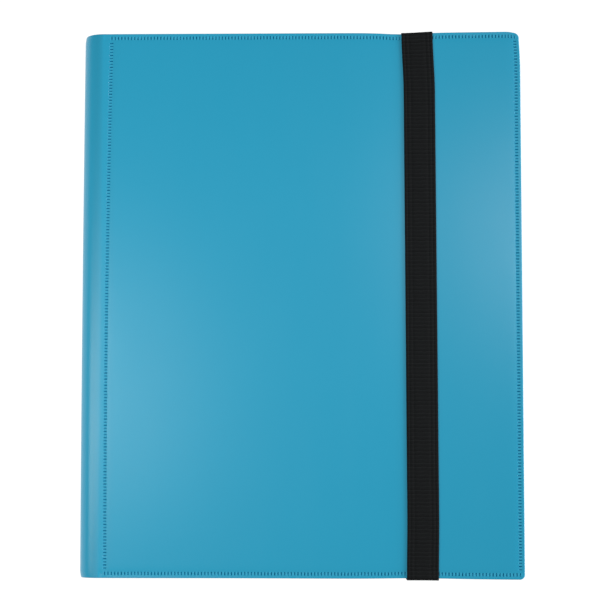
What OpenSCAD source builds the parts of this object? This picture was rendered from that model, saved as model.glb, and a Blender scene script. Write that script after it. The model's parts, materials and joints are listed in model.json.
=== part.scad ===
// Trading card binder: soft half-round spine, two padded covers, twenty
// side-loading nine-pocket pages and an elastic strap round the fore edge.
// Lies closed on its back cover: +X from spine to fore edge, +Y to the head,
// +Z up through the front cover. The origin is the centre of the footprint.

/* [Cover] */
// Width from the spine's outer side to the fore edge
cover_w = 266; // [250:1:290]
// Height from foot to head
cover_h = 330; // [324:1:360]
// Thickness of the outer skin
skin_t = 0.8; // [0.8:0.1:1]
// Thickness of the stiff board inside each cover
board_t = 1.2; // [1.2:0.1:1.6]
// Thickness of the liner on the inner face
liner_t = 0.4; // [0.3:0.1:0.5]
// Width of the welded rim outside the board
rim_w = 4.5; // [4:0.5:7]
// Radius of the fore-edge corners
corner_r = 3; // [2:0.5:5]

/* [Spine] */
// Distance from the cover hinges in to the page hinges
page_hinge_in = 2.2; // [2.2:0.1:2.8]
// Thickness of the web of the channel that carries the pages
web_t = 0.8; // [0.6:0.1:1]
// Thickness of the channel's flanges
flange_t = 0.5; // [0.4:0.1:0.6]
// Clearance between a cover's edge and the hinge bead
hinge_gap = 0.25; // [0.2:0.05:0.4]

/* [Pages] */
// Distance from one page to the next in the closed binder
page_pitch = 1; // [1:0.05:1.5]
// Free height between an outermost page's middle and its cover
page_margin = 0.6; // [0.6:0.05:1]
// Height of a page
page_h = 306; // [300:1:312]
// Thickness of a page's opaque middle sheet
sheet_t = 0.2; // [0.15:0.05:0.2]
// Thickness of the clear pocket film
film_t = 0.1; // [0.08:0.01:0.12]
// Height of the weld lands that hold the film off the sheet
land_t = 0.08; // [0.06:0.01:0.1]
// Width of one column of pockets
column_w = 75; // [72:0.5:76]
// Height of one row of pockets
row_h = 98; // [95:0.5:99]

/* [Strap] */
// Width of the elastic
strap_w = 19; // [12:1:25]
// Thickness of the elastic
strap_t = 0.7; // [0.5:0.1:0.7]
// Distance from the strap's middle to the fore edge
strap_in = 61; // [40:1:80]
// Clearance between the elastic and the cover it goes round
strap_gap = 0.3; // [0.2:0.1:0.5]

/* [Hidden] */
$fn = 72;

page_count = 20;
columns = 3;
rows = 3;

cover_t = skin_t + board_t + liner_t;
closed_t = 2 * cover_t + 2 * page_margin + (page_count - 1) * page_pitch;
half_h = cover_h / 2;
edge_x = cover_w / 2;

// The spine is a half cylinder that runs out into two flat hinge beads.
spine_r = closed_t / 2;
spine_x = spine_r - cover_w / 2;
hinge_flat = 0.4;
hinge_x = spine_x + hinge_flat;
bead_r = skin_t / 2;
panel_x = hinge_x + bead_r + hinge_gap;
board_x = panel_x + rim_w;
board_r = 2;

// The pages hinge beside the ends of thin ribs on a channel inside the spine.
page_x = hinge_x + page_hinge_in;
rib_end_x = page_x - 0.5;
web_x = hinge_x + 1;
channel_h = cover_h - 8;
channel_z = skin_t + liner_t + 0.3;
sheet_x = page_x + 0.8;
sheet_end_x = edge_x - 11;
sheet_r = 2;

// Pockets open towards the spine and are closed on their other three sides.
pockets_x = page_x + 12;
mouth_w = 1;
land_w = 2;

// The strap's ends lie in a gate in the rim and a notch in the board.
strap_x = edge_x - strap_in;
strap_side_y = half_h + strap_gap;
strap_front_z = closed_t + strap_gap;
tail_y = half_h - rim_w - 14;
notch_side = 1.3;
notch_y = tail_y - 2;
crimp_y = tail_y - 1.5;
crimp_l = 4;
crimp_side = 0.8;
gate_side = 1.5;
gate_roof = 0.45;

function two_digits(k) = k < 10 ? str("0", k) : str(k);
function page_node(k, what) = str("page_", two_digits(k), "_", what);
function page_z(k) = closed_t - cover_t - page_margin - (k - 1) * page_pitch;

// A box from one corner to the other.
module slab(low, high) {
    translate(low) cube(high - low);
}

// A flat outline from x0 to x1, symmetric in Y, with round corners at x1.
module panel_outline(x0, x1, half, r) {
    translate([x0, -half]) square([x1 - x0 - r, 2 * half]);
    translate([x0, r - half]) square([x1 - x0, 2 * (half - r)]);
    for (side = [-1, 1]) {
        translate([x1 - r, side * (half - r)]) circle(r = r);
    }
}

// Places a back cover's child at the same place on the front cover.
module on_front() {
    translate([0, 0, closed_t]) mirror([0, 0, 1]) children();
}

// Places a head-end child at the foot end.
module at_foot() {
    mirror([0, 1, 0]) children();
}

// The flat outer skin of a cover.
module cover_skin() {
    linear_extrude(skin_t) panel_outline(panel_x, edge_x, half_h, corner_r);
}

// The space that the board fills, down to the skin.
module board_space() {
    translate([0, 0, skin_t]) linear_extrude(board_t)
        panel_outline(board_x, edge_x - rim_w, half_h - rim_w, board_r);
}

// The inner liner: a flat welded rim with a raised middle over the board.
module cover_liner() {
    difference() {
        translate([0, 0, skin_t]) {
            linear_extrude(liner_t) panel_outline(panel_x, edge_x, half_h, corner_r);
            linear_extrude(board_t + liner_t) panel_outline(
                board_x - liner_t, edge_x - rim_w + liner_t, half_h - rim_w + liner_t, board_r
            );
        }
        board_space();
    }
}

// A block round the strap's tail where it passes through the welded rim.
module strap_gate() {
    side = strap_w / 2 + gate_side;
    slab(
        [strap_x - side, half_h - rim_w, skin_t],
        [strap_x + side, half_h, skin_t + strap_t + gate_roof]
    );
}

// The strap's tail, with room to cut past the rim's outer edge.
module tail_space(y0, y1) {
    side = strap_w / 2;
    slab([strap_x - side, y0, skin_t], [strap_x + side, y1, skin_t + strap_t]);
}

module back_panel_skin() {
    color([0.21, 0.61, 0.75]) cover_skin();
}

module back_board() {
    side = strap_w / 2 + notch_side;
    color([0.56, 0.52, 0.47]) difference() {
        board_space();
        for (end = [0, 1]) mirror([0, end, 0]) slab(
            [strap_x - side, notch_y, 0], [strap_x + side, half_h, closed_t]
        );
    }
}

module back_liner() {
    color([0.08, 0.09, 0.1]) difference() {
        union() {
            cover_liner();
            for (end = [0, 1]) mirror([0, end, 0]) strap_gate();
        }
        board_space();
        for (end = [0, 1]) mirror([0, end, 0]) tail_space(tail_y, half_h + 1);
    }
}

module spine_skin() {
    color([0.21, 0.61, 0.75]) rotate([90, 0, 0]) linear_extrude(cover_h, center = true) {
        translate([spine_x, spine_r]) difference() {
            circle(r = spine_r);
            circle(r = spine_r - skin_t);
            translate([0, -closed_t]) square(2 * closed_t);
        }
        for (z = [0, closed_t - skin_t]) {
            translate([spine_x, z]) square([hinge_flat, skin_t]);
            translate([hinge_x, z + bead_r]) circle(r = bead_r);
        }
    }
}

// A web that carries the pages' ribs, with flanges that reach the spine's inside.
module page_channel() {
    half = channel_h / 2;
    color([0.08, 0.09, 0.1]) {
        intersection() {
            union() {
                slab([web_x - web_t, -half, channel_z], [web_x, half, closed_t - channel_z]);
                for (z = [channel_z, closed_t - channel_z - flange_t]) {
                    slab([-edge_x, -half, z], [web_x, half, z + flange_t]);
                }
            }
            translate([spine_x, 0, spine_r]) rotate([90, 0, 0])
                cylinder(r = spine_r - skin_t, h = cover_h, center = true);
        }
        for (k = [1:page_count]) slab(
            [web_x, -page_h / 2, page_z(k) - sheet_t / 2],
            [rib_end_x, page_h / 2, page_z(k) + sheet_t / 2]
        );
    }
}

module front_panel_skin() {
    color([0.21, 0.61, 0.75]) on_front() cover_skin();
}

module front_board() {
    color([0.56, 0.52, 0.47]) on_front() board_space();
}

module front_liner() {
    color([0.08, 0.09, 0.1]) on_front() cover_liner();
}

module strap_front_run() {
    side = strap_w / 2;
    end = strap_side_y + strap_t;
    color([0.11, 0.11, 0.12]) slab(
        [strap_x - side, -end, strap_front_z], [strap_x + side, end, strap_front_z + strap_t]
    );
}

module strap_head_run() {
    side = strap_w / 2;
    color([0.11, 0.11, 0.12]) slab(
        [strap_x - side, strap_side_y, skin_t],
        [strap_x + side, strap_side_y + strap_t, strap_front_z]
    );
}

module strap_foot_run() {
    at_foot() strap_head_run();
}

module strap_head_tail() {
    color([0.11, 0.11, 0.12]) tail_space(tail_y, strap_side_y);
}

module strap_foot_tail() {
    at_foot() strap_head_tail();
}

// A bent metal stop over the tail's end, held between skin and liner.
module strap_head_crimp() {
    side = strap_w / 2 + crimp_side;
    color([0.75, 0.76, 0.78]) difference() {
        slab([strap_x - side, crimp_y, skin_t], [strap_x + side, crimp_y + crimp_l, skin_t + board_t]);
        tail_space(tail_y, half_h);
    }
}

module strap_foot_crimp() {
    at_foot() strap_head_crimp();
}

module page_sheet(k) {
    color([0.06, 0.06, 0.07]) translate([0, 0, page_z(k) - sheet_t / 2]) linear_extrude(sheet_t)
        panel_outline(sheet_x, sheet_end_x, page_h / 2, sheet_r);
}

// One column of pockets on the upper face: film on weld lands, open on the left.
module pocket_column(x0) {
    x1 = x0 + column_w;
    half = rows * row_h / 2;
    translate([0, 0, sheet_t / 2]) {
        slab([x0 + mouth_w, -half, land_t], [x1, half, land_t + film_t]);
        slab([x1 - land_w, -half, 0], [x1, half, land_t]);
        for (row = [0:rows]) {
            y = min(max(row * row_h - half - land_w / 2, -half), half - land_w);
            slab([x0 + mouth_w, y, 0], [x1, y + land_w, land_t]);
        }
    }
}

module page_pockets(k) {
    color([0.75, 0.8, 0.85, 0.4]) translate([0, 0, page_z(k)]) {
        for (face = [0, 1]) mirror([0, 0, face]) {
            for (column = [0:columns - 1]) pocket_column(pockets_x + column * column_w);
        }
    }
}

back_panel_skin();
back_board();
back_liner();
spine_skin();
page_channel();
front_panel_skin();
front_board();
front_liner();
strap_front_run();
strap_head_run();
strap_foot_run();
strap_head_tail();
strap_foot_tail();
strap_head_crimp();
strap_foot_crimp();
for (k = [1:page_count]) {
    page_sheet(k);
    page_pockets(k);
}
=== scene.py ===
"""A side-loading card binder with welded covers, a soft spine and an elastic strap, lying closed.

Shapes are worked out in millimetres in the CAD frame: X from spine to fore edge, Y to the head,
Z up through the front cover. Outer skins are unrolled: x runs on round the spine as a length.
"""

import json
import math

import bmesh
import bpy
import numpy as np
from mathutils import Matrix, Vector


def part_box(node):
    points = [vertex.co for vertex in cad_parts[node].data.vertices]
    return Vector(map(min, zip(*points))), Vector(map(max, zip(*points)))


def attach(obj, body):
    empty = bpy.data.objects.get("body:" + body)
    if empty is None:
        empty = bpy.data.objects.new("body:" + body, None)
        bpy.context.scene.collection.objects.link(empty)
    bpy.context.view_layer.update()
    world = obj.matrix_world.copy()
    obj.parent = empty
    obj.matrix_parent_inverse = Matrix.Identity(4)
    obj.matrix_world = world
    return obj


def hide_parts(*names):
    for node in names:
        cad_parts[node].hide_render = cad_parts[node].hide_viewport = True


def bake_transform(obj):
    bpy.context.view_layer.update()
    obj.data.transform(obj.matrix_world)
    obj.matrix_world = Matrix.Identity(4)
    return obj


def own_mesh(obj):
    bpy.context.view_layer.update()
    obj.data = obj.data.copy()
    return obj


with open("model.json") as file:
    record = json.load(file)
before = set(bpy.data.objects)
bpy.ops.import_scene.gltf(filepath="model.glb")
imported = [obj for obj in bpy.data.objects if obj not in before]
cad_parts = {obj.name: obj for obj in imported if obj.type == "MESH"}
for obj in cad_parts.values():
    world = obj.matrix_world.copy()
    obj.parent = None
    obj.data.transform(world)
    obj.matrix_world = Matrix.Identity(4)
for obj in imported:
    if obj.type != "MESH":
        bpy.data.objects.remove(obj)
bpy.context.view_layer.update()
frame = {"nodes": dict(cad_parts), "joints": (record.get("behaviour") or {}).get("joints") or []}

MM = 0.001
NODES = frame["nodes"]
JOINTS = {j["name"]: j for j in frame["joints"]}
PAGES = sorted(n[: -len("_sheet")] for n in NODES if n.endswith("_sheet"))


def box_mm(node):
    low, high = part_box(node)
    return [c / MM for c in low], [c / MM for c in high]


# Cover and spine, from the CAD frame. The skins have close lines within HINGE_REACH of the hinge,
# where they meet the spine, and the floor lies low enough for the opened binder.
skin_low, skin_high = box_mm("front_panel_skin")
EDGE_X, HALF_H, CLOSED_T = skin_high
SKIN_T = CLOSED_T - skin_low[2]
EDGE_R = SKIN_T / 2
SPINE_R = CLOSED_T / 2
SPINE_X = box_mm("spine_skin")[0][0] + SPINE_R
HINGE_X = JOINTS["spine_hinge"]["pos_m"][0] / MM
HINGE_REACH = 0.7
HINGE_LINES = 7
JOIN_X = HINGE_X - HINGE_REACH
CORNER_R = 3.0
MIDDLE_STEP = 8
SPINE_LINES = 42
FLOOR_Z = -1.6

# Channel inside the spine that carries the pages, and each page's flexible root.
WEB_X = HINGE_X + 1.0
WEB_T = 0.8
FLANGE_T = 0.5
ROOT_LINES, ROOT_IN = 11, 0.2

# Weld seam round each cover: slots and the raised land between them, in a shallow valley. The
# spine-side seam drifts and bows a little along its length.
SEAM_IN = 2.75
SEAM_LEFT = HINGE_X + 2.9
SEAM_RIGHT = EDGE_X - SEAM_IN
SEAM_Y = HALF_H - SEAM_IN
SLOTS_ACROSS = 124
PITCH_X = (SEAM_RIGHT - SEAM_LEFT) / SLOTS_ACROSS
PITCH_Y = 1.85
SLOT_FLOOR, SLOT_RIM = 0.27, 0.43
SLOT_ENDS = (0.75, 0.9, 1.05)
BAND_HALF = 1.2
SEAM_DRIFT, SEAM_BOW, DRIFT_FADE = 0.7, 1.15, 120
SLOTS_UP = int((SEAM_Y - BAND_HALF - SLOT_RIM - 1) / PITCH_Y)
SLOT_DEPTH = 0.4
LAND_RISE = 0.03
VALLEY_DEPTH, VALLEY_REACH = 0.12, 2.0

# Inner liner: it laps up over the board, and over the gate that the strap's ends pass through.
LINER_T = 0.4
BOARD_T = 1.2
RIM_W = 4.5
LINER_STEP = 1.6
LINER_LAP = 0.8
LINER_IN, LINER_COLUMNS, LINER_ROWS = 6, 26, 34
GATE_SIDE, GATE_HEIGHT = 1.5, 0.75
GATE_SLOPE, GATE_SOFT, GATE_IN, GATE_IN_SLOPE = 0.6, 1.2, 2, 1.5

# Soft shapes: the spine's bow and curled ends, the front cover pressed in by the strap and
# springing up beyond it.
SPINE_BOW = 0.35
CURL_IN, CURL_REACH = 0.65, 5.0
STRAP_PULL, STRAP_DIP, STRAP_PRESS_X, STRAP_REACH = 0.45, 0.3, 71.7, 24.0
PULL_POWER = 8
HEAD_PULL, HEAD_PULL_X, HEAD_PULL_REACH = 0.9, 62.0, 14.0
SPRING_FROM = 40.0
SPRING_UP, SPRING_OUT, SPRING_WIDE = 1.5, 0.5, 0.15
FOOT_SKEW, SKEW_FROM, SKEW_REACH = 0.38, -40.0, 170.0
WORN_OUT, WORN_OUT_FROM, WORN_OUT_REACH = 0.8, (120, 143), (13, 22)
WORN_UP, WORN_UP_FROM, WORN_UP_REACH = 1.0, (125, 155), (8, 10)
BOARD_COLUMNS, BOARD_ROWS = 41, 21

# Strap. Its sides hang clear of the covers, and follow the front cover's spring near the top.
STRAP_X, STRAP_LEAN = 72.7, 0.0045
STRAP_HALF_W = 9.45
GATE_X = sum(side[0] for side in box_mm("strap_head_tail")) / 2
STRAP_OFF, STRAP_OFF_FOOT, STRAP_RISE = 0.25, 0.60, 0.03
STRAP_WANDER_HEAD, STRAP_WANDER_FOOT, WANDER_FROM, WANDER_REACH = 1.1, 0.5, 128, 37
STRAP_T = 0.7
STRAP_FOLD_R = 1.1
STRAP_GATE_R = 0.8
GROOVES, GROOVE_HALF = {7.45: 0.09, 5.05: 0.05}, 0.16
RIB_PITCH = 1.15
RIB_ROWS = 4
RIB_HEIGHT = 0.05
FRONT_LAP, ROOT_Z, ROOT_FREE = 1.8, 9.0, 0.2
FOLLOW_FROM_Z, FOLLOW_REACH = 19.5, 4.5


# ---------------------------------------------------------------- mesh helpers


def add_mesh(name, points, faces, material, values=None, sharp=40):
    """A closed mesh from millimetre points, faces turned outwards, smooth up to a sharp angle."""
    mesh = bpy.data.meshes.new(name)
    mesh.from_pydata((np.asarray(points, float) * MM).tolist(), [], faces)
    turned = bmesh.new()
    turned.from_mesh(mesh)
    bmesh.ops.recalc_face_normals(turned, faces=turned.faces)
    turned.to_mesh(mesh)
    turned.free()
    for key, data in (values or {}).items():
        mesh.attributes.new(key, "FLOAT", "POINT").data.foreach_set(
            "value", np.asarray(data, np.float32)
        )
    mesh.shade_smooth()
    mesh.set_sharp_from_angle(angle=math.radians(sharp))
    mesh.materials.append(material)
    obj = bpy.data.objects.new(name, mesh)
    bpy.context.scene.collection.objects.link(obj)
    return obj


class Surface:
    """Faces over named corners; a corner gets its number when it is first used."""

    def __init__(self):
        self.number = {}
        self.faces = []

    def add(self, loops):
        for loop in loops:
            self.faces.append([self.number.setdefault(key, len(self.number)) for key in loop])

    def keys(self):
        return np.array(list(self.number))


def patch(xs, ys, fine=""):
    """Corner loops of a patch of cells. A side named in fine takes all its neighbour's lines."""
    loops = []
    for b, (y0, y1) in enumerate(zip(ys[:-1], ys[1:])):
        for a, (x0, x1) in enumerate(zip(xs[:-1], xs[1:])):
            south = range(x0, x1) if "s" in fine and b == 0 else (x0,)
            east = range(y0, y1) if "e" in fine and a == len(xs) - 2 else (y0,)
            north = range(x1, x0, -1) if "n" in fine and b == len(ys) - 2 else (x1,)
            west = range(y1, y0, -1) if "w" in fine and a == 0 else (y1,)
            loops.append(
                [(i, y0) for i in south]
                + [(x1, j) for j in east]
                + [(i, y1) for i in north]
                + [(x0, j) for j in west]
            )
    return loops


def smoothstep(t):
    t = np.clip(t, 0, 1)
    return t * t * (3 - 2 * t)


# ---------------------------------------------------------------- outer skin


def rim_lines():
    """Distances past the flat surface of the lines that round an edge."""
    return [EDGE_R * math.sin(math.radians(a)) for a in (22.5, 45, 67.5, 90)]


def inner_lines(low, high, step):
    """Lines of the plain middle of a cover: close together beside the seams, then step apart."""
    near = [0, 1, 2.5, 5, 9]
    count = round((high - low - 2 * near[-1]) / step)
    middle = np.linspace(low + near[-1], high - near[-1], count + 1)[1:-1]
    return [low + d for d in near] + list(middle) + [high - d for d in near[::-1]]


def seam_lines(middle):
    half = [SLOT_FLOOR, SLOT_RIM, *SLOT_ENDS, BAND_HALF]
    return [middle - h for h in half[::-1]] + [middle] + [middle + h for h in half]


def slot_lines(middles):
    return [m + d for m in middles for d in (-SLOT_RIM, -SLOT_FLOOR, SLOT_FLOOR, SLOT_RIM)]


def numbered(groups, extra):
    """All lines of the groups and the extra fine ones, merged, and each group's line numbers."""
    lines = np.unique(np.round([v for g in groups for v in g] + list(extra), 5))
    return lines, [list(np.searchsorted(lines, np.round(g, 5))) for g in groups]


def cover_x_lines():
    bend = np.linspace(JOIN_X, HINGE_X + HINGE_REACH, HINGE_LINES)
    left = [*bend, SEAM_LEFT - BAND_HALF]
    middle = inner_lines(SEAM_LEFT + BAND_HALF, SEAM_RIGHT - BAND_HALF, MIDDLE_STEP)
    flat = EDGE_X - EDGE_R
    right = [SEAM_RIGHT + BAND_HALF, flat - 0.5, flat] + [flat + d for d in rim_lines()]
    slots = slot_lines([SEAM_LEFT + n * PITCH_X for n in range(1, SLOTS_ACROSS)])
    return numbered([left, seam_lines(SEAM_LEFT), middle, seam_lines(SEAM_RIGHT), right], slots)


def cover_y_lines():
    flat = HALF_H - EDGE_R
    head = [SEAM_Y + BAND_HALF, flat - 0.5, flat] + [flat + d for d in rim_lines()]
    foot = [-v for v in head[::-1]]
    middle = inner_lines(BAND_HALF - SEAM_Y, SEAM_Y - BAND_HALF, MIDDLE_STEP)
    slots = slot_lines([n * PITCH_Y for n in range(-SLOTS_UP, SLOTS_UP + 1)])
    return numbered([foot, seam_lines(-SEAM_Y), middle, seam_lines(SEAM_Y), head], slots)


def joined(*groups):
    """Line numbers of several neighbouring groups, each once."""
    return sorted(set(n for g in groups for n in g))


def full(group):
    """Every line number of a group's stretch, the fine ones included."""
    return list(range(group[0], group[-1] + 1))


def layered(loops, layer, last_x, last_y):
    """Puts loops on the outer (0) or inner (1) face, which share corners along the free edges."""
    return [
        [(i, j, 0 if i == last_x or j in (0, last_y) else layer) for i, j in loop]
        for loop in loops
    ]


def slot_share(distance):
    return np.interp(np.abs(distance), [SLOT_FLOOR, SLOT_RIM], [1, 0])


def seam_relief(x, y):
    """How much slot and how much welded land there is at each point, both from 0 to 1."""
    ends = (SLOT_ENDS, (1, 0.75, 0))
    n = np.round((x - SEAM_LEFT) / PITCH_X)
    inside = (n >= 0) & (n <= SLOTS_ACROSS)
    across = np.interp(np.abs(np.abs(y) - SEAM_Y), *ends) * inside
    slot = across * slot_share(x - SEAM_LEFT - n * PITCH_X)
    land = across - slot
    m = np.round(y / PITCH_Y)
    inside = (np.abs(m) <= SLOTS_UP) & (np.abs(y) < SEAM_Y - BAND_HALF)
    side = np.minimum(np.abs(x - SEAM_LEFT), np.abs(x - SEAM_RIGHT))
    across_side = np.interp(side, *ends) * inside
    slot_side = across_side * slot_share(y - m * PITCH_Y)
    uneven = 0.85 + 0.15 * np.sin(n * 12.9 + m * 78.2 + x * 0.11 + y * 0.07)
    slot = np.maximum(slot, slot_side)
    land = np.maximum(land, across_side - slot_side)
    return slot * uneven, land


def valley(x, y):
    """Depth of the shallow valley along the weld seams."""
    off = np.minimum(np.abs(x - SEAM_LEFT), np.abs(x - SEAM_RIGHT))
    off = np.minimum(off, np.abs(np.abs(y) - SEAM_Y))
    return VALLEY_DEPTH * np.exp(-((off / VALLEY_REACH) ** 2)) * smoothstep(x - JOIN_X)


def round_edges(x, y, edge_r=EDGE_R):
    """Rounds the fore-edge corners, and gives how far the faces drop towards the free edges."""
    a, b = x - (EDGE_X - CORNER_R), np.abs(y) - (HALF_H - CORNER_R)
    reach = np.maximum(a, b)
    past = np.clip(reach - (CORNER_R - edge_r), 0, edge_r)
    drop = edge_r - np.sqrt(edge_r**2 - past**2)
    corner = (a > 0) & (b > 0)
    shrink = np.where(corner, reach / np.maximum(np.hypot(a, b), 1e-9), 1)
    x = np.where(corner, EDGE_X - CORNER_R + a * shrink, x)
    y = np.where(corner, np.sign(y) * (HALF_H - CORNER_R + b * shrink), y)
    return x, y, drop


def roll(x, y, depth):
    """Places unrolled points, depth below the outer face: flat over the cover, then round."""
    turn = np.clip((SPINE_X - x) / SPINE_R, 0, math.pi)
    up = np.abs(y) / HALF_H
    curl = np.clip((np.abs(y) - HALF_H + CURL_REACH) / CURL_REACH, 0, 1) ** 2
    swell = (SPINE_BOW * (1 - up**2) - CURL_IN * curl) * np.sin(turn) ** 2
    radius = SPINE_R + swell - depth
    return np.stack(
        [np.maximum(x, SPINE_X) - radius * np.sin(turn), y, SPINE_R + radius * np.cos(turn)], 1
    )


def corner_share(x, y, start, reach):
    """Share from 0 to 1 that grows towards the fore-edge head corner."""
    return smoothstep((x - start[0]) / reach[0]) * smoothstep((y - start[1]) / reach[1])


def spring(points):
    """Bends the front cover: pressed in by the strap, and springing up and wide beyond it."""
    x, y, z = points.T
    up = np.abs(y) / HALF_H
    press = np.exp(-(((x - STRAP_PRESS_X) / STRAP_REACH) ** 2))
    free = np.clip((x - SPRING_FROM) / (EDGE_X - SPRING_FROM), 0, None) ** 2
    head_press = np.exp(-(((x - HEAD_PULL_X) / HEAD_PULL_REACH) ** 2))
    pull = np.where(y > 0, HEAD_PULL * head_press, STRAP_PULL * press)
    wide = SPRING_WIDE * free * up - pull * up**PULL_POWER
    wide += FOOT_SKEW * up * np.clip((x - SKEW_FROM) / SKEW_REACH, 0, 1) * (y < 0)
    worn_x = WORN_OUT * corner_share(x, y, WORN_OUT_FROM, WORN_OUT_REACH)
    worn_y = WORN_UP * corner_share(x, y, WORN_UP_FROM, WORN_UP_REACH)
    return np.stack(
        [
            x + SPRING_OUT * free - worn_x,
            y + np.sign(y) * wide - worn_y,
            z + SPRING_UP * free - STRAP_DIP * press,
        ],
        1,
    )


def skin_points(keys, xs, ys, welded):
    """Points, slot share and land share of a skin's corners."""
    x, y, inner = xs[keys[:, 0]], ys[keys[:, 1]], keys[:, 2] == 1
    slot, land = seam_relief(x, y) if welded else (np.zeros(len(x)), np.zeros(len(x)))
    dent = valley(x, y) + SLOT_DEPTH * slot - LAND_RISE * land if welded else 0
    x, y, drop = round_edges(x, y)
    depth = np.where(inner, SKIN_T - drop, drop + dent)
    return roll(x, y, depth), slot * ~inner, land * ~inner


def cover_skin(name, node, material, low_side):
    """A cover's outer skin with its welded seam, from the spine's tangent to the fore edge."""
    xs, (left, seam_l, middle, seam_r, right) = cover_x_lines()
    ys, (foot, seam_f, rows, seam_h, head) = cover_y_lines()
    last_x, last_y = right[-1], head[-1]
    plain_x = joined(left, seam_l, middle, seam_r, right)
    plain_y = joined(foot, seam_f, rows, seam_h, head)
    fine_x = joined(left, seam_l, full(middle), seam_r, right)
    loops = patch(plain_x, foot, "n") + patch(plain_x, head, "s")
    loops += patch(fine_x, seam_f) + patch(fine_x, seam_h)
    loops += patch(left, rows, "e") + patch(right, rows, "w") + patch(middle, rows, "nsew")
    loops += patch(seam_l, full(rows)) + patch(seam_r, full(rows))
    surface = Surface()
    surface.add(layered(loops, 0, last_x, last_y))
    surface.add(layered(patch(plain_x, plain_y), 1, last_x, last_y))
    surface.add(end_cap(0, plain_y, last_y))
    points, slot, land = skin_points(surface.keys(), xs, ys, True)
    points = put_on_side(drift(points), low_side)
    obj = add_mesh(name, points, surface.faces, material, {"slot": slot, "land": land})
    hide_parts(node)
    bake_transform(obj)


def drift(points):
    """Bows the spine-side seam, which runs farther from the spine towards its ends."""
    x, y, z = points.T
    up = y / HALF_H
    near = smoothstep((x - JOIN_X) / (SEAM_LEFT - JOIN_X))
    near *= smoothstep((SPRING_FROM - x) / DRIFT_FADE)
    return np.stack([x + (SEAM_DRIFT * up + SEAM_BOW * up**2) * near, y, z], 1)


def put_on_side(points, low_side):
    """Bends a front cover's points, or turns them over to be the back cover's."""
    return points * (1, 1, -1) + (0, 0, CLOSED_T) if low_side else spring(points)


def cover_liner(name, node, board_node, body, material, low_side):
    """The liner on a cover's inner face: a flat rim, a soft step and the middle over the board."""
    x0 = box_mm(node)[0][0]
    board_low, board_high = box_mm(board_node)
    flat = LINER_T / 2
    step = [0, 0.3, 0.8, LINER_STEP - 0.3, LINER_STEP]
    slope = (-GATE_SLOPE, 0, GATE_SLOPE)
    gate = [GATE_X + side * (STRAP_HALF_W + GATE_SIDE) + d for side in (-1, 1) for d in slope]
    lap = LINER_STEP * LINER_LAP
    ends = [flat * math.sin(math.radians(a)) - flat for a in (0, 30, 60, 90)]
    x_in = [board_low[0] - lap + d for d in step]
    x_out = [board_high[0] + lap - d for d in step]
    y_out = [board_high[1] + lap - d for d in step]
    middle_x = np.linspace(x_in[-1] + LINER_IN, x_out[-1] - LINER_IN, LINER_COLUMNS)
    middle_y = np.linspace(LINER_IN - y_out[-1], y_out[-1] - LINER_IN, LINER_ROWS)
    xs, _ = numbered([[x0, *x_in, *middle_x, *x_out, *(EDGE_X + d for d in ends)]], gate)
    half_y = [*y_out, *(HALF_H + d for d in ends)]
    ys, _ = numbered([[-v for v in half_y], middle_y, half_y], [])
    columns, rows = list(range(len(xs))), list(range(len(ys)))
    surface = Surface()
    surface.add(layered(patch(columns, rows), 1, columns[-1], rows[-1]))
    surface.add(layered(patch(columns, rows), 0, columns[-1], rows[-1]))
    surface.add(end_cap(0, rows, rows[-1]))
    keys = surface.keys()
    x, y, inner = xs[keys[:, 0]], ys[keys[:, 1]], keys[:, 2] == 1
    inside_x = np.minimum(x - board_low[0], board_high[0] - x)
    inside = np.minimum(inside_x, board_high[1] - np.abs(y)) + lap
    height = BOARD_T * smoothstep(inside / LINER_STEP)
    if low_side:
        off = np.abs(x - GATE_X) - STRAP_HALF_W - GATE_SIDE
        tunnel = smoothstep((np.abs(y) - HALF_H + RIM_W + GATE_IN) / GATE_IN_SLOPE)
        tunnel *= smoothstep(0.5 - off / GATE_SOFT)
        height = np.maximum(height, GATE_HEIGHT * tunnel)
    x, y, drop = round_edges(x, y, flat)
    depth = SKIN_T + np.where(inner, LINER_T - drop + height, drop)
    points = put_on_side(np.stack([x, y, CLOSED_T - depth], 1), low_side)
    obj = add_mesh(name, points, surface.faces, material)
    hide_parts(node)
    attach(obj, body)


def sprung_board(material):
    """The front cover's board, bent along with the skin and the liner that hold it."""
    low, high = box_mm("front_board")
    xs = np.linspace(low[0], high[0], BOARD_COLUMNS)
    ys = np.linspace(low[1], high[1], BOARD_ROWS)
    across, along = list(range(len(xs))), list(range(len(ys)))
    cells = patch(across, along)
    rim = [(i, 0) for i in across] + [(across[-1], j) for j in along[1:]]
    rim += [(i, along[-1]) for i in across[-2::-1]] + [(0, j) for j in along[-2::-1]]
    surface = Surface()
    for layer in (0, 1):
        surface.add([[(i, j, layer) for i, j in loop] for loop in cells])
    surface.add([[(*a, 0), (*b, 0), (*b, 1), (*a, 1)] for a, b in zip(rim[:-1], rim[1:])])
    keys = surface.keys()
    z = np.where(keys[:, 2] == 1, high[2], low[2])
    points = spring(np.stack([xs[keys[:, 0]], ys[keys[:, 1]], z], 1))
    obj = add_mesh("front_board_sprung", points, surface.faces, material)
    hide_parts("front_board")
    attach(obj, "front_cover")


def end_cap(i, ys, last_y):
    """Closes a skin between its faces along line i."""
    loops = []
    for j0, j1 in zip(ys[:-1], ys[1:]):
        low = [(i, j0, 0)] if j0 == 0 else [(i, j0, 0), (i, j0, 1)]
        high = [(i, j1, 0)] if j1 == last_y else [(i, j1, 1), (i, j1, 0)]
        loops.append(high + low)
    return loops


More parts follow.
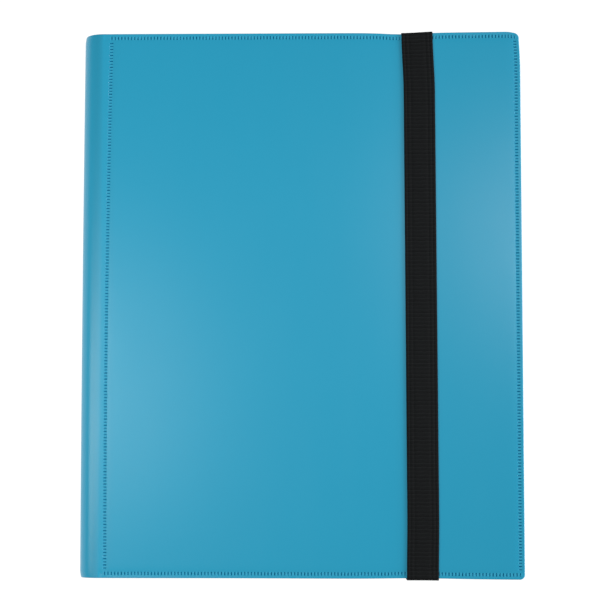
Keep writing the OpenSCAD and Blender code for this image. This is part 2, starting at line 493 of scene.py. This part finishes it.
def spine_shell(material):
    """The soft half-round spine."""
    ys, groups = cover_y_lines()
    plain = joined(*groups)
    ys = ys[plain]
    arc = math.pi * SPINE_R - 2 * (SPINE_X - JOIN_X)
    ends = [0, 0.3, 0.8]
    steps = [*ends, *np.linspace(1.5, arc - 1.5, SPINE_LINES), *(arc - d for d in ends[::-1])]
    xs = np.array([JOIN_X - s for s in steps])[::-1]
    rows, columns = list(range(len(ys))), list(range(len(xs)))
    last_y = rows[-1]
    surface = Surface()
    surface.add(layered(patch(columns, rows), 0, None, last_y))
    surface.add(layered(patch(columns, rows), 1, None, last_y))
    surface.add(end_cap(0, rows, last_y))
    surface.add(end_cap(columns[-1], rows, last_y))
    points, slot, land = skin_points(surface.keys(), xs, ys, False)
    obj = add_mesh("spine_shell", points, surface.faces, material, {"slot": slot, "land": land})
    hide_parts("spine_skin")
    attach(obj, "spine")
    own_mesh(obj)


# ---------------------------------------------------------------- page channel and roots


def channel_web(material):
    """The web of the page channel with a rib for each page."""
    low, high = box_mm("page_channel")
    back, rib_end, foot, top = WEB_X - WEB_T, high[0], low[2], high[2]
    sheets = sorted((box_mm(page + "_sheet") for page in PAGES), key=lambda box: box[0][2])
    lines = [foot, *(z for box in sheets for z in (box[0][2], box[1][2])), top]
    ys = [low[1], sheets[0][0][1], sheets[0][1][1], high[1]]
    surface = Surface()
    for k, (a, b) in enumerate(zip(ys[:-1], ys[1:])):
        for n, (c, d) in enumerate(zip(lines[:-1], lines[1:])):
            x = rib_end if k == 1 and n % 2 else WEB_X
            surface.add([[(x, a, c), (x, b, c), (x, b, d), (x, a, d)]])
            if x == rib_end:
                surface.add([[(WEB_X, a, e), (WEB_X, b, e), (x, b, e), (x, a, e)] for e in (c, d)])
                surface.add([[(WEB_X, e, c), (x, e, c), (x, e, d), (WEB_X, e, d)] for e in (a, b)])
        surface.add([[(back, a, foot), (back, b, foot), (back, b, top), (back, a, top)]])
        for e in (foot, top):
            surface.add([[(back, a, e), (back, b, e), (WEB_X, b, e), (WEB_X, a, e)]])
    for y in (ys[0], ys[-1]):
        surface.add([[(back, y, top), (back, y, foot)] + [(WEB_X, y, z) for z in lines]])
    obj = add_mesh("channel_web", surface.keys(), surface.faces, material, sharp=30)
    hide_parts("page_channel")
    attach(obj, "spine")


def channel_flange(name, material, front_side):
    """A thin flange from the web to the spine's inner face."""
    low, high = box_mm("page_channel")
    root = WEB_X - WEB_T / 2
    inner_r = SPINE_R - SKIN_T
    outline = []
    for z in (low[2], low[2] + FLANGE_T):
        tip = SPINE_X - math.sqrt(inner_r**2 - (SPINE_R - z) ** 2)
        outline.append((tip, CLOSED_T - z if front_side else z))
    (tip_a, z_a), (tip_b, z_b) = outline
    ring = [(root, z_a), (tip_a, z_a), (tip_b, z_b), (root, z_b)]
    points = [(x, y, z) for y in (low[1], high[1]) for x, z in ring]
    faces = [[0, 1, 2, 3], [4, 5, 6, 7]]
    faces += [[k, (k + 1) % 4, (k + 1) % 4 + 4, k + 4] for k in range(4)]
    obj = add_mesh(name, points, faces, material, sharp=30)
    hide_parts("page_channel")
    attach(obj, "spine")
    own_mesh(obj)


def page_root(page, material):
    """The flexible strip that joins a page to its rib on the spine's channel."""
    low, high = box_mm(page + "_sheet")
    x0 = box_mm("page_channel")[1][0]
    xs = np.linspace(x0, low[0], ROOT_LINES)
    ring = [(x, low[2]) for x in xs] + [(x, high[2]) for x in xs[::-1]]
    points = [(x, y, z) for y in (low[1], high[1]) for x, z in ring]
    count = len(ring)
    faces = [[k, (k + 1) % count, (k + 1) % count + count, k + count] for k in range(count)]
    faces += [list(range(count)), list(range(count, 2 * count))]
    obj = add_mesh(page + "_root", points, faces, material)
    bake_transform(obj)


# ---------------------------------------------------------------- strap


def strap_half(foot):
    """Half the strap's line, from the front's middle to a tail, as lengths and bend radii."""
    top = CLOSED_T + STRAP_RISE + STRAP_T / 2
    side = HALF_H + (STRAP_OFF_FOOT if foot else STRAP_OFF) + STRAP_T / 2
    tail_low, tail_high = box_mm("strap_head_tail")
    tail_z = (tail_low[2] + tail_high[2]) / 2
    fold_y = side - STRAP_FOLD_R
    drop = top - STRAP_FOLD_R - tail_z - STRAP_GATE_R
    return [
        (fold_y, 0),
        (STRAP_FOLD_R * math.pi / 2, STRAP_FOLD_R),
        (drop, 0),
        (STRAP_GATE_R * math.pi / 2, STRAP_GATE_R),
        (side - STRAP_GATE_R - tail_low[1], 0),
    ], top


def strap_at(s):
    """Middle line (y, z) and outward normal at distance s along the strap from its middle.

    Below 0, s runs down the foot half.
    """
    segments, z = strap_half(s < 0)
    y, heading, left = 0.0, 0.0, abs(s)
    for length, radius in segments:
        go = min(left, length)
        if radius:
            turn = go / radius
            cy, cz = y - radius * math.sin(heading), z - radius * math.cos(heading)
            heading += turn
            y, z = cy + radius * math.sin(heading), cz + radius * math.cos(heading)
        else:
            y, z = y + go * math.cos(heading), z - go * math.sin(heading)
        left -= go
        if left <= 1e-9:
            break
    side = 1 if s >= 0 else -1
    return y * side, z, math.sin(heading) * side, math.cos(heading)


def strap_section():
    """Points round the elastic's section: distance across, height, share of the ribs."""
    h = STRAP_T / 2
    right = [(1.5, h, 1.0), (3.0, h, 1.0), (6.2, h, 1.0), (8.4, h, 0.8)]
    for place, depth in GROOVES.items():
        right += [(place - GROOVE_HALF, h, 1.0), (place + GROOVE_HALF, h, 1.0)]
        right += [(place, h - depth, 1.0)]
    right += [(STRAP_HALF_W - 0.35, h * 0.97, 0.5), (STRAP_HALF_W - 0.1, h * 0.6, 0.3)]
    right = sorted(right)
    top = [(-w, z, r) for w, z, r in right[::-1]] + [(0, h, 1.0)] + right
    edge = [(STRAP_HALF_W, 0, 0), (STRAP_HALF_W - 0.15, -h * 0.7, 0)]
    low = [(STRAP_HALF_W - 0.55, -h, 0), (3.0, -h, 0)]
    bottom = edge + low + [(-w, z, r) for w, z, r in (edge + low)[::-1]]
    return np.array(top + bottom, float)


def rib_share(s, w):
    """Cross ribs of the weave from -1 to 1: every second one is higher, all a little uneven."""
    phase = s / RIB_PITCH + 0.10 * np.sin(w * 0.9 + s * 0.21) + 0.06 * np.sin(w * 2.3 - s * 0.57)
    strength = 0.6 + 0.25 * np.sin(s * 0.83 + 1.3) + 0.15 * np.sin(s * 2.9 + w * 0.7)
    return strength * (0.55 * np.cos(2 * math.pi * phase) + 0.45 * np.cos(math.pi * phase + 0.4))


def strap_middle(y):
    """X of the strap's middle: it leans a little, and wanders towards the spine at its ends."""
    head = STRAP_WANDER_HEAD * smoothstep((y - WANDER_FROM) / WANDER_REACH)
    foot = STRAP_WANDER_FOOT * smoothstep((-y - WANDER_FROM) / WANDER_REACH)
    return STRAP_X - STRAP_LEAN * y - head - foot


def strap_piece(name, s0, s1, material, node=None):
    """The stretch of strap from s0 to s1."""
    section = strap_section()
    count = max(2, round((s1 - s0) / (RIB_PITCH / RIB_ROWS)))
    rows = np.linspace(s0, s1, count + 1)
    w = section[:, 0]
    points, along, across, ribs = [], [], [], []
    for s in rows:
        y, z, ny, nz = strap_at(s)
        rib = section[:, 2] * rib_share(s, w)
        lift = section[:, 1] + RIB_HEIGHT * rib
        x = strap_middle(y) + w
        rest = np.stack([x, y + ny * lift, z + nz * lift], 1)
        follow = smoothstep((z - FOLLOW_FROM_Z) / FOLLOW_REACH)
        points += list(rest + (spring(rest) - rest) * follow)
        along += [s] * len(w)
        across += list(w)
        ribs += list(rib)
    n = len(w)
    faces = [
        [r * n + k, r * n + (k + 1) % n, (r + 1) * n + (k + 1) % n, (r + 1) * n + k]
        for r in range(len(rows) - 1)
        for k in range(n)
    ]
    faces += [list(range(n)), [(len(rows) - 1) * n + k for k in range(n)]]
    values = {"along": along, "across": across, "rib": ribs}
    obj = add_mesh(name, points, faces, material, values, sharp=60)
    if node:
        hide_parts(node)
    return obj


def build_strap(material):
    """One strap in five stretches: the front band, which rides the strap's front, two sides and
    two roots.
    """
    front_ends = []
    for end_name, foot, half in (("head", False, 1), ("foot", True, -1)):
        segments, top = strap_half(foot)
        lengths = [length for length, _ in segments]
        side_top = top - STRAP_FOLD_R
        front_end = sum(lengths[:2]) + FRONT_LAP
        z_front = side_top - FRONT_LAP
        side_end = front_end + z_front - ROOT_Z
        a, b = sorted((half * front_end, half * side_end))
        side = strap_piece(f"strap_{end_name}_side", a, b, material, f"strap_{end_name}_run")
        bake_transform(side)
        a, b = sorted((half * side_end, half * sum(lengths)))
        root = strap_piece(f"strap_{end_name}_root", a, b, material, f"strap_{end_name}_tail")
        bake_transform(root)
        front_ends.append(half * front_end)
    head_end, foot_end = front_ends
    front = strap_piece("strap_front_band", foot_end, head_end, material, "strap_front_run")
    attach(front, "strap_front")


# ---------------------------------------------------------------- materials

# A Mix node has sockets of the same name for numbers, vectors and colours.
MIX_COLOUR_A, MIX_COLOUR_B, MIX_COLOUR_OUT = 6, 7, 2

SKIN_LIGHT = (0.010, 0.299, 0.477, 1)
SKIN_DARK = (0.008, 0.280, 0.452, 1)
# The land colour is a painted highlight; the slot colour is painted shade, partly the thinned weld
# over the dark liner.
SKIN_LAND_HIGHLIGHT = (0.020, 0.340, 0.525, 1)
SKIN_SLOT_SHADE = (0.004, 0.150, 0.300, 1)
# The elastic's own black on the rib tops, and near-black painted shade in the valleys between the
# ribs.
ELASTIC_VALLEY_SHADE, ELASTIC_RIB_TOP = (0.0008, 0.0009, 0.0013, 1), (0.0085, 0.0092, 0.0100, 1)
LINER_DARK, LINER_LIGHT = (0.006, 0.006, 0.007, 1), (0.012, 0.012, 0.013, 1)
PAGE_DARK, PAGE_LIGHT = (0.007, 0.007, 0.008, 1), (0.011, 0.011, 0.012, 1)
FILM = (0.82, 0.86, 0.9, 1)
BOARD_DARK, BOARD_LIGHT = (0.16, 0.14, 0.12, 1), (0.30, 0.27, 0.23, 1)
STEEL_DARK, STEEL_LIGHT = (0.5, 0.51, 0.53, 1), (0.62, 0.63, 0.65, 1)
TABLE, WHITE = (0.07, 0.07, 0.07, 1), (1, 1, 1, 1)


class Paint:
    """A node material under construction."""

    def __init__(self, name, **sockets):
        self.material = bpy.data.materials.new(name)
        self.material.use_nodes = True
        self.tree = self.material.node_tree
        self.shader = self.tree.nodes["Principled BSDF"]
        for key, value in sockets.items():
            self.shader.inputs[key.replace("_", " ")].default_value = value

    def node(self, kind, options=None, **inputs):
        node = self.tree.nodes.new(kind)
        for key, value in (options or {}).items():
            setattr(node, key, value)
        for key, value in inputs.items():
            self.put(value, node.inputs[key.replace("_", " ")])
        return node

    def put(self, value, socket):
        if isinstance(value, bpy.types.NodeSocket):
            self.tree.links.new(value, socket)
        else:
            socket.default_value = value

    def set(self, key, value):
        self.put(value, self.shader.inputs[key])

    def place(self):
        return self.node("ShaderNodeTexCoord").outputs["Object"]

    def stretched(self, scale):
        node = self.node("ShaderNodeMapping", Vector=self.place())
        node.inputs["Scale"].default_value = scale
        return node.outputs["Vector"]

    def noise(self, scale, detail=2.0, roughness=0.5, at=None):
        node = self.node("ShaderNodeTexNoise", Scale=scale, Detail=detail, Roughness=roughness)
        self.put(at or self.place(), node.inputs["Vector"])
        return node.outputs["Fac"]

    def attribute(self, name):
        return self.node("ShaderNodeAttribute", {"attribute_name": name}).outputs["Fac"]

    def math(self, operation, a, b=0.0):
        node = self.tree.nodes.new("ShaderNodeMath")
        node.operation = operation
        self.put(a, node.inputs[0])
        self.put(b, node.inputs[1])
        return node.outputs[0]

    def scaled(self, value, low, high):
        """A 0 to 1 value spread from low to high."""
        node = self.node("ShaderNodeMapRange", Value=value)
        node.inputs["To Min"].default_value = low
        node.inputs["To Max"].default_value = high
        return node.outputs["Result"]

    def mix(self, share, a, b):
        node = self.tree.nodes.new("ShaderNodeMix")
        node.data_type = "RGBA"
        self.put(share, node.inputs["Factor"])
        self.put(a, node.inputs[MIX_COLOUR_A])
        self.put(b, node.inputs[MIX_COLOUR_B])
        return node.outputs[MIX_COLOUR_OUT]

    def bump(self, *layers):
        """Bump layers as (height, distance in metres), the coarsest first."""
        normal = None
        for height, distance in layers:
            node = self.node("ShaderNodeBump", Height=height, Distance=distance, Strength=1.0)
            if normal:
                self.put(normal, node.inputs["Normal"])
            normal = node.outputs["Normal"]
        self.set("Normal", normal)


def satin_skin():
    """Turquoise satin polypropylene: fine grain, faint clouds, a painted highlight on the weld's
    raised land, and painted shade in its slots, partly the thinned weld over the dark liner.
    """
    paint = Paint("satin_skin", IOR=1.49)
    clouds = paint.noise(14, 3)
    colour = paint.mix(paint.scaled(clouds, 0.2, 0.8), SKIN_DARK, SKIN_LIGHT)
    # Painted highlight: the weld's raised land is coloured lighter.
    welded = paint.mix(paint.scaled(paint.attribute("land"), 0, 0.5), colour, SKIN_LAND_HIGHLIGHT)
    # Painted shade: the weld's slots are coloured darker, partly the thinned weld over the dark
    # liner.
    slot_shade = paint.scaled(paint.attribute("slot"), 0, 0.8)
    paint.set("Base Color", paint.mix(slot_shade, welded, SKIN_SLOT_SHADE))
    paint.set("Specular IOR Level", paint.scaled(paint.attribute("slot"), 0.5, 0.05))
    scuffs = paint.scaled(paint.noise(60, 6, 0.7, at=paint.stretched((1, 0.25, 1))), 0.26, 0.34)
    pressed = paint.math("MAXIMUM", paint.attribute("land"), paint.attribute("slot"))
    paint.set("Roughness", paint.math("ADD", scuffs, paint.scaled(pressed, 0, 0.2)))
    paint.bump((paint.noise(35, 2), 0.00004), (paint.noise(2600, 2, 0.6), 0.000005))
    return paint.material


def ribbed_elastic():
    """Black woven elastic: lengthwise threads over cross ribs, with painted shade in the valleys
    between the ribs, uneven along the weave.
    """
    paint = Paint("ribbed_elastic", Specular_IOR_Level=0.12)
    along, across = paint.attribute("along"), paint.attribute("across")
    cell = paint.node("ShaderNodeCombineXYZ", X=paint.math("MULTIPLY", across, 3.2), Y=along)
    threads = paint.noise(1.0, 2, 0.6, at=cell.outputs["Vector"])
    knots = paint.node(
        "ShaderNodeCombineXYZ",
        X=paint.math("MULTIPLY", across, 2.0),
        Y=paint.math("MULTIPLY", along, 1.6),
    )
    weave = paint.noise(1.7, 3, 0.7, at=knots.outputs["Vector"])
    rib = paint.node("ShaderNodeMapRange", Value=paint.attribute("rib"))
    rib.inputs["From Min"].default_value, rib.inputs["From Max"].default_value = -0.5, 0.5
    # Painted shade: the valleys between the ribs are coloured darker still, unevenly along the
    # weave.
    rib_shading = paint.math("MULTIPLY", rib.outputs["Result"], paint.scaled(weave, 0.6, 1.4))
    paint.set("Base Color", paint.mix(rib_shading, ELASTIC_VALLEY_SHADE, ELASTIC_RIB_TOP))
    paint.set("Roughness", paint.scaled(threads, 0.62, 0.85))
    paint.bump((weave, 0.00010), (threads, 0.00006))
    return paint.material


def grained_liner():
    """Black liner with a fine leather grain."""
    paint = Paint("grained_liner", IOR=1.45)
    paint.set("Base Color", paint.mix(paint.noise(30, 3), LINER_DARK, LINER_LIGHT))
    cells = paint.node("ShaderNodeTexVoronoi", {"feature": "DISTANCE_TO_EDGE"}, Scale=1700.0)
    paint.put(paint.place(), cells.inputs["Vector"])
    grain = paint.math("MINIMUM", cells.outputs["Distance"], 0.12)
    paint.set("Roughness", paint.scaled(paint.noise(80, 3), 0.48, 0.62))
    paint.bump((grain, 0.00016), (paint.noise(2500, 2), 0.00001))
    return paint.material


def black_page():
    """Matt black middle sheet of a page."""
    paint = Paint("black_page", IOR=1.45)
    paint.set("Base Color", paint.mix(paint.noise(25, 2), PAGE_DARK, PAGE_LIGHT))
    paint.set("Roughness", paint.scaled(paint.noise(120, 3), 0.5, 0.6))
    paint.bump((paint.noise(1800, 2), 0.000015))
    return paint.material


def clear_film():
    """Clear pocket film that ripples a little over the sheet."""
    paint = Paint("clear_film", Alpha=0.22, IOR=1.49, Base_Color=FILM)
    paint.set("Roughness", paint.scaled(paint.noise(50, 2), 0.08, 0.16))
    paint.bump((paint.noise(22, 2), 0.0005), (paint.noise(400, 2), 0.00002))
    return paint.material


def grey_board():
    """Grey binder's board with pressed fibres."""
    paint = Paint("grey_board")
    fibres = paint.noise(700, 4, 0.7, at=paint.stretched((1, 0.3, 1)))
    paint.set("Base Color", paint.mix(fibres, BOARD_DARK, BOARD_LIGHT))
    paint.set("Roughness", paint.scaled(fibres, 0.85, 0.95))
    paint.bump((fibres, 0.0001))
    return paint.material


def plated_steel():
    """Brushed plated steel of the strap's crimps."""
    paint = Paint("plated_steel", Metallic=1.0)
    brush = paint.noise(900, 3, at=paint.stretched((0.05, 1, 1)))
    paint.set("Base Color", paint.mix(brush, STEEL_DARK, STEEL_LIGHT))
    paint.set("Roughness", paint.scaled(brush, 0.28, 0.42))
    paint.bump((brush, 0.00001))
    return paint.material


def light_table():
    """White floor that glows a little, as in a product photograph."""
    paint = Paint("light_table", Base_Color=TABLE, Emission_Color=WHITE)
    paint.set("Emission Strength", 1.0)
    paint.set("Roughness", paint.scaled(paint.noise(8, 2), 0.85, 0.95))
    return paint.material


# ---------------------------------------------------------------- studio

FLOOR_HALF, FLOOR_CELLS = 12000.0, 24
WORLD_STRENGTH = 0.36
CAMERA_TILT, CAMERA_LEAN, CAMERA_SPIN = -5.2, -1.29, -0.04
CAMERA_DISTANCE, CAMERA_AIM = 1200.0, (-0.25, 1.45, CLOSED_T)
PIXELS_PER_MM, FRAME_PX, SENSOR_W = 1.6585, 600, 36


def floor(material):
    """A large plain floor. It lies low enough for the opened binder's spine and sprung cover."""
    n = FLOOR_CELLS
    lines = np.linspace(-FLOOR_HALF, FLOOR_HALF, n + 1)
    points = [(x, y, FLOOR_Z) for y in lines for x in lines]
    faces = [
        [r * (n + 1) + c, r * (n + 1) + c + 1, (r + 1) * (n + 1) + c + 1, (r + 1) * (n + 1) + c]
        for r in range(n)
        for c in range(n)
    ]
    add_mesh("floor", points, faces, material)


def soft_light(name, place, size, watts, colour=(1, 1, 1), at=(0, 0, 25)):
    """An area light in millimetres that faces a point."""
    data = bpy.data.lights.new(name, "AREA")
    data.shape = "RECTANGLE"
    data.size, data.size_y = size[0] * MM, size[1] * MM
    data.energy = watts
    data.color = colour
    obj = bpy.data.objects.new(name, data)
    bpy.context.scene.collection.objects.link(obj)
    obj.location = Vector(place) * MM
    obj.rotation_euler = (Vector(place) - Vector(at)).to_track_quat("Z", "Y").to_euler()


def studio():
    """Daylight from windows on both sides and a small spot, as the photo's highlights show."""
    world = bpy.data.worlds.new("studio")
    bpy.context.scene.world = world
    world.use_nodes = True
    background = world.node_tree.nodes["Background"]
    background.inputs["Color"].default_value = WHITE
    background.inputs["Strength"].default_value = WORLD_STRENGTH
    soft_light("left_window", (-416, -41, 500), (197, 715), 2.3, colour=(0.84, 1.0, 0.98))
    soft_light("high_spot", (169, 94, 500), (149, 100), 0.26)
    soft_light("right_window", (2000, 33, 500), (1500, 700), 63.0)
    bpy.context.scene.view_settings.view_transform = "Standard"
    bpy.context.scene.view_settings.look = "None"


def photo_camera():
    """Almost straight above, standing a little towards the foot and the fore edge."""
    turn = Matrix.Rotation(math.radians(CAMERA_SPIN), 3, "Z")
    turn = turn @ Matrix.Rotation(math.radians(CAMERA_TILT), 3, "X")
    turn = turn @ Matrix.Rotation(math.radians(CAMERA_LEAN), 3, "Y")
    data = bpy.data.cameras.new("photo_camera")
    data.sensor_width = SENSOR_W
    data.lens = CAMERA_DISTANCE * PIXELS_PER_MM / FRAME_PX * SENSOR_W
    data.clip_start, data.clip_end = 0.05, 20
    camera = bpy.data.objects.new("photo_camera", data)
    bpy.context.scene.collection.objects.link(camera)
    basis = turn.transposed()
    place = (Vector(CAMERA_AIM) + basis @ Vector((0, 0, CAMERA_DISTANCE))) * MM
    camera.matrix_world = Matrix.Translation(place) @ basis.to_4x4()
    bpy.context.scene.camera = camera


# ---------------------------------------------------------------- the scene


def paint_nodes(material, *names):
    """Gives CAD nodes that show as they are their material."""
    for name in names:
        data = NODES[name].data
        data.materials.clear()
        data.materials.append(material)


def main():
    skin, elastic = satin_skin(), ribbed_elastic()
    liner, sheet, film = grained_liner(), black_page(), clear_film()
    cover_skin("front_skin", "front_panel_skin", skin, False)
    cover_skin("back_skin", "back_panel_skin", skin, True)
    spine_shell(skin)
    cover_liner("front_lining", "front_liner", "front_board", "front_cover", liner, False)
    cover_liner("back_lining", "back_liner", "back_board", "back_cover", liner, True)
    for page in PAGES:
        page_root(page, sheet)
        paint_nodes(sheet, page + "_sheet")
        paint_nodes(film, page + "_pockets")
    build_strap(elastic)
    channel_web(liner)
    channel_flange("channel_flange_back", liner, False)
    channel_flange("channel_flange_front", liner, True)
    board = grey_board()
    sprung_board(board)
    paint_nodes(board, "back_board")
    paint_nodes(plated_steel(), "strap_head_crimp", "strap_foot_crimp")
    floor(light_table())
    studio()
    photo_camera()


main()
